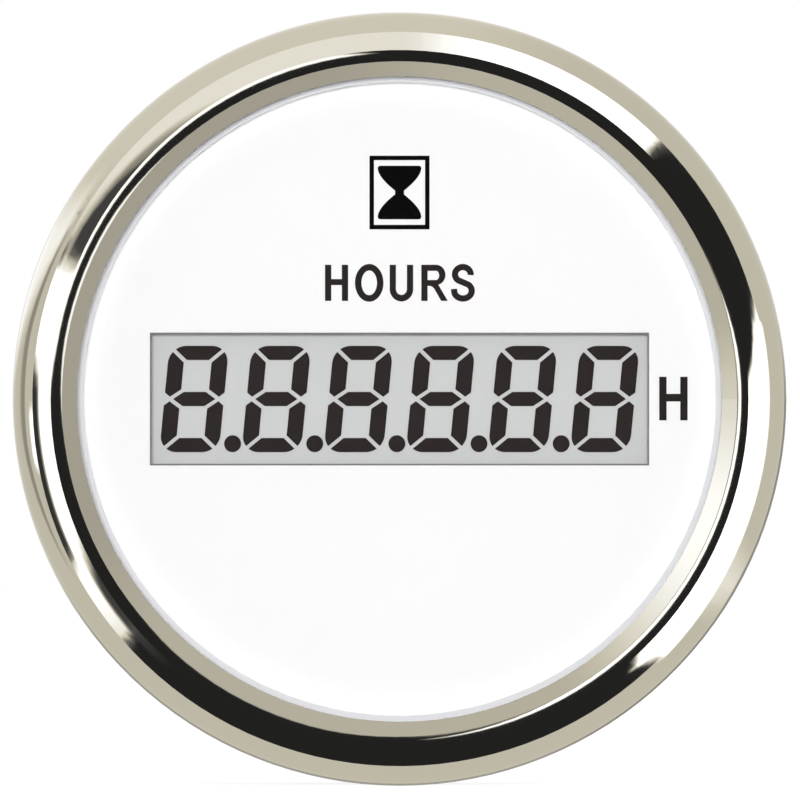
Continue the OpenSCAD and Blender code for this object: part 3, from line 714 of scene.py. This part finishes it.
EDGE_PANELS = (
    Panel((10.0, 12.6), (10.0, 12.6), (20, 175), 1.16, 0.8),
    Panel((9.75, 10.1), (9.13, 9.97), (61, 150), 1.8, 0.45, 16),
    Panel((8.1, 9.93), (8.8, 9.3), (52, 91), 0.5, 0.18, 20),
    Panel((8.1, 9.93), (8.75, 9.3), (45, 68), 1.0, 0.14, 8),
    Panel((8.57, 9.0), (8.66, 8.93), (28, 49), 2.6, 0.1, 4),
    Panel((3.8, 4.14), (3.88, 4.06), (28, 125), 1.5, 0.28, 8),
    Panel((2.33, 4.54), (2.39, 4.47), (28, 48), 2.6, 0.1, 3),
    Panel((2.8, 5.4), (2.8, 5.4), (134, 179), 0.42, 0.6, 6),
    Panel((5.1, 7.9), (5.1, 7.9), (134, 179), 0.55, 0.6, 6),
)
# The inner slope sends the line of sight almost sideways, to a small drum on the axis. A panel's angles are
# here shares of the slope's width, from its inner end at 0 to its outer end at 1
SLOPE_BASE = 0.03
SLOPE_PANELS = (
    Panel((2.2, 5.6), (2.2, 5.9), (-0.4, 0.13), 0.42, 0.3, 0.06),
    Panel((2.35, 5.1), (2.75, 5.87), (0.1, 0.33), 2.6, 0.1, 0.06),
    Panel((5.4, 7.9), (6.4, 7.4), (-0.1, 0.13), 0.85, 0.2, 0.05),
    Panel((8.4, 10.9), (9.3, 10.1), (-0.1, 0.22), 2.0, 0.15, 0.05),
    Panel((9.3, 11.85), (8.45, 11.35), (0.72, 1.4), 2.2, 0.12, 0.05),
)
# The drum's radius in mm, and how far in front of the bezel the slope's two ends look, in mm
DRUM_R = 4.0
DRUM_LOW = 3.367
DRUM_HIGH = 4.287

# Rows of the cards: degrees off the line of sight, and on the drum shares of the slope's width
CREST_ROWS = [0.2 + 1.1 * i for i in range(29)]
LIP_ROWS = [38.6, 40.9]
EDGE_ROWS = [32 + 2.5 * i for i in range(58)]
DRUM_ROWS = [-0.4 + 0.03 * i for i in range(61)]


def crest_level(hour, angle):
    return lit_by(CREST_PANELS, CREST_BASE, (hour + 6) % 12, angle)


def lip_level(hour, angle):
    return lit_by(LIP_PANELS, LIP_BASE, (hour + 6) % 12, angle)


def edge_level(hour, angle):
    return lit_by(EDGE_PANELS, EDGE_BASE, hour, angle)


def drum():
    """A small tube round the axis in front of the dial, which the bezel's inner slope mirrors."""
    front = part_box("bezel")[0].y
    heights = [DRUM_LOW + share * (DRUM_HIGH - DRUM_LOW) for share in DRUM_ROWS]
    levels = [[lit_by(SLOPE_PANELS, SLOPE_BASE, hour, share) for hour in CARD_HOURS] for share in DRUM_ROWS]
    card("card_slope", [(DRUM_R * MM, front - height * MM) for height in heights], levels)


def studio_cards():
    """Cards for the bezel's crest, lip, slope and rounded edge. Each mirrors its own ring of angles."""
    reflector("card_crest", CREST_ROWS, crest_level)
    reflector("card_lip", LIP_ROWS, lip_level)
    drum()
    reflector("card_edge", EDGE_ROWS, edge_level, distance=EDGE_CARD_DISTANCE)


def white_share(tree):
    """1 for camera, glossy and transmitted rays, else 0."""
    path = tree.nodes.new("ShaderNodeLightPath")
    total = path.outputs["Is Camera Ray"]
    for name in ("Is Glossy Ray", "Is Transmission Ray"):
        larger = tree.nodes.new("ShaderNodeMath")
        larger.operation = "MAXIMUM"
        tree.links.new(total, larger.inputs[0])
        tree.links.new(path.outputs[name], larger.inputs[1])
        total = larger.outputs[0]
    return total


def white_world():
    """White where it is seen, and a softer white where it lights the meter."""
    world = bpy.data.worlds.new("studio")
    bpy.context.scene.world = world
    world.use_nodes = True
    tree = world.node_tree
    lit = tree.nodes["Background"]
    lit.inputs["Color"].default_value = (1, 1, 1, 1)
    lit.inputs["Strength"].default_value = AMBIENT
    seen = tree.nodes.new("ShaderNodeBackground")
    seen.inputs["Color"].default_value = (1, 1, 1, 1)
    mix = tree.nodes.new("ShaderNodeMixShader")
    tree.links.new(white_share(tree), mix.inputs[0])
    tree.links.new(lit.outputs[0], mix.inputs[1])
    tree.links.new(seen.outputs[0], mix.inputs[2])
    tree.links.new(mix.outputs[0], tree.nodes["World Output"].inputs["Surface"])


def pale_floor():
    """White floor at the meter's lowest point. It keeps the shadow, and metal doesn't mirror it."""
    s = Shader("floor")
    path = s.add("ShaderNodeLightPath")
    matt = s.add("ShaderNodeBsdfDiffuse", {"Color": (FLOOR_ALBEDO,) * 3 + (1,)})
    level = s.spread(path.outputs["Is Camera Ray"], 0.0, FLOOR_GLOW)
    glow = s.add("ShaderNodeEmission", {"Strength": level})
    total = s.add("ShaderNodeAddShader", {0: matt.outputs[0], 1: glow.outputs[0]})
    s.join(total.outputs[0], s.output.inputs["Surface"])
    s.tree.nodes.remove(s.surface)
    half = FLOOR_SIZE / 2
    corners = [(x, y, cad_box[0].z) for x, y in rectangle(-half, -half, half, half)]
    mesh = bpy.data.meshes.new("floor")
    mesh.from_pydata(corners, [], [(0, 1, 2, 3)])
    floor = link_object("floor", mesh, s.material)
    floor.visible_glossy = False


def lamp(name, place, size, power):
    """A soft square lamp that faces the meter. Metal shows the cards instead of it."""
    light = bpy.data.lights.new(name, "AREA")
    light.size = size
    light.energy = power
    obj = bpy.data.objects.new(name, light)
    bpy.context.scene.collection.objects.link(obj)
    obj.location = place
    obj.rotation_euler = (-Vector(place)).to_track_quat("-Z", "Y").to_euler()
    obj.visible_glossy = False


def studio_lamps():
    for name, (place, size, power) in LAMPS.items():
        lamp(name, place, size, power)


def front_camera():
    """Straight at the dial, as the photograph is taken."""
    camera = bpy.data.cameras.new("camera")
    camera.sensor_width = SENSOR_MM
    camera.lens = SENSOR_MM * CAMERA_DISTANCE / (IMAGE_PX / PX_PER_MM * MM)
    camera.clip_start, camera.clip_end = CAMERA_CLIP
    obj = bpy.data.objects.new("camera", camera)
    bpy.context.scene.collection.objects.link(obj)
    pixel = MM / PX_PER_MM
    obj.location = (AXIS_LEFT_PX * pixel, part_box("bezel")[0].y - CAMERA_DISTANCE, -AXIS_UP_PX * pixel)
    obj.rotation_euler = (math.pi / 2, 0, 0)
    bpy.context.scene.camera = obj


dress_nodes()
part_glass()
sign_ink = matt_ink("sign_ink", linear(5, 4, 4)).material
line_ink = matt_ink("line_ink", linear(128, 128, 128)).material
word_ink = matt_ink("word_ink", linear(43, 38, 37)).material
hours_word(word_ink)
unit_letter(word_ink)
hourglass_sign(sign_ink)
window_line(line_ink)
for stud_side in ("left", "right"):
    threaded_stud(stud_side)
white_world()
pale_floor()
studio_cards()
studio_lamps()
front_camera()
bpy.context.scene.view_settings.view_transform = "Standard"
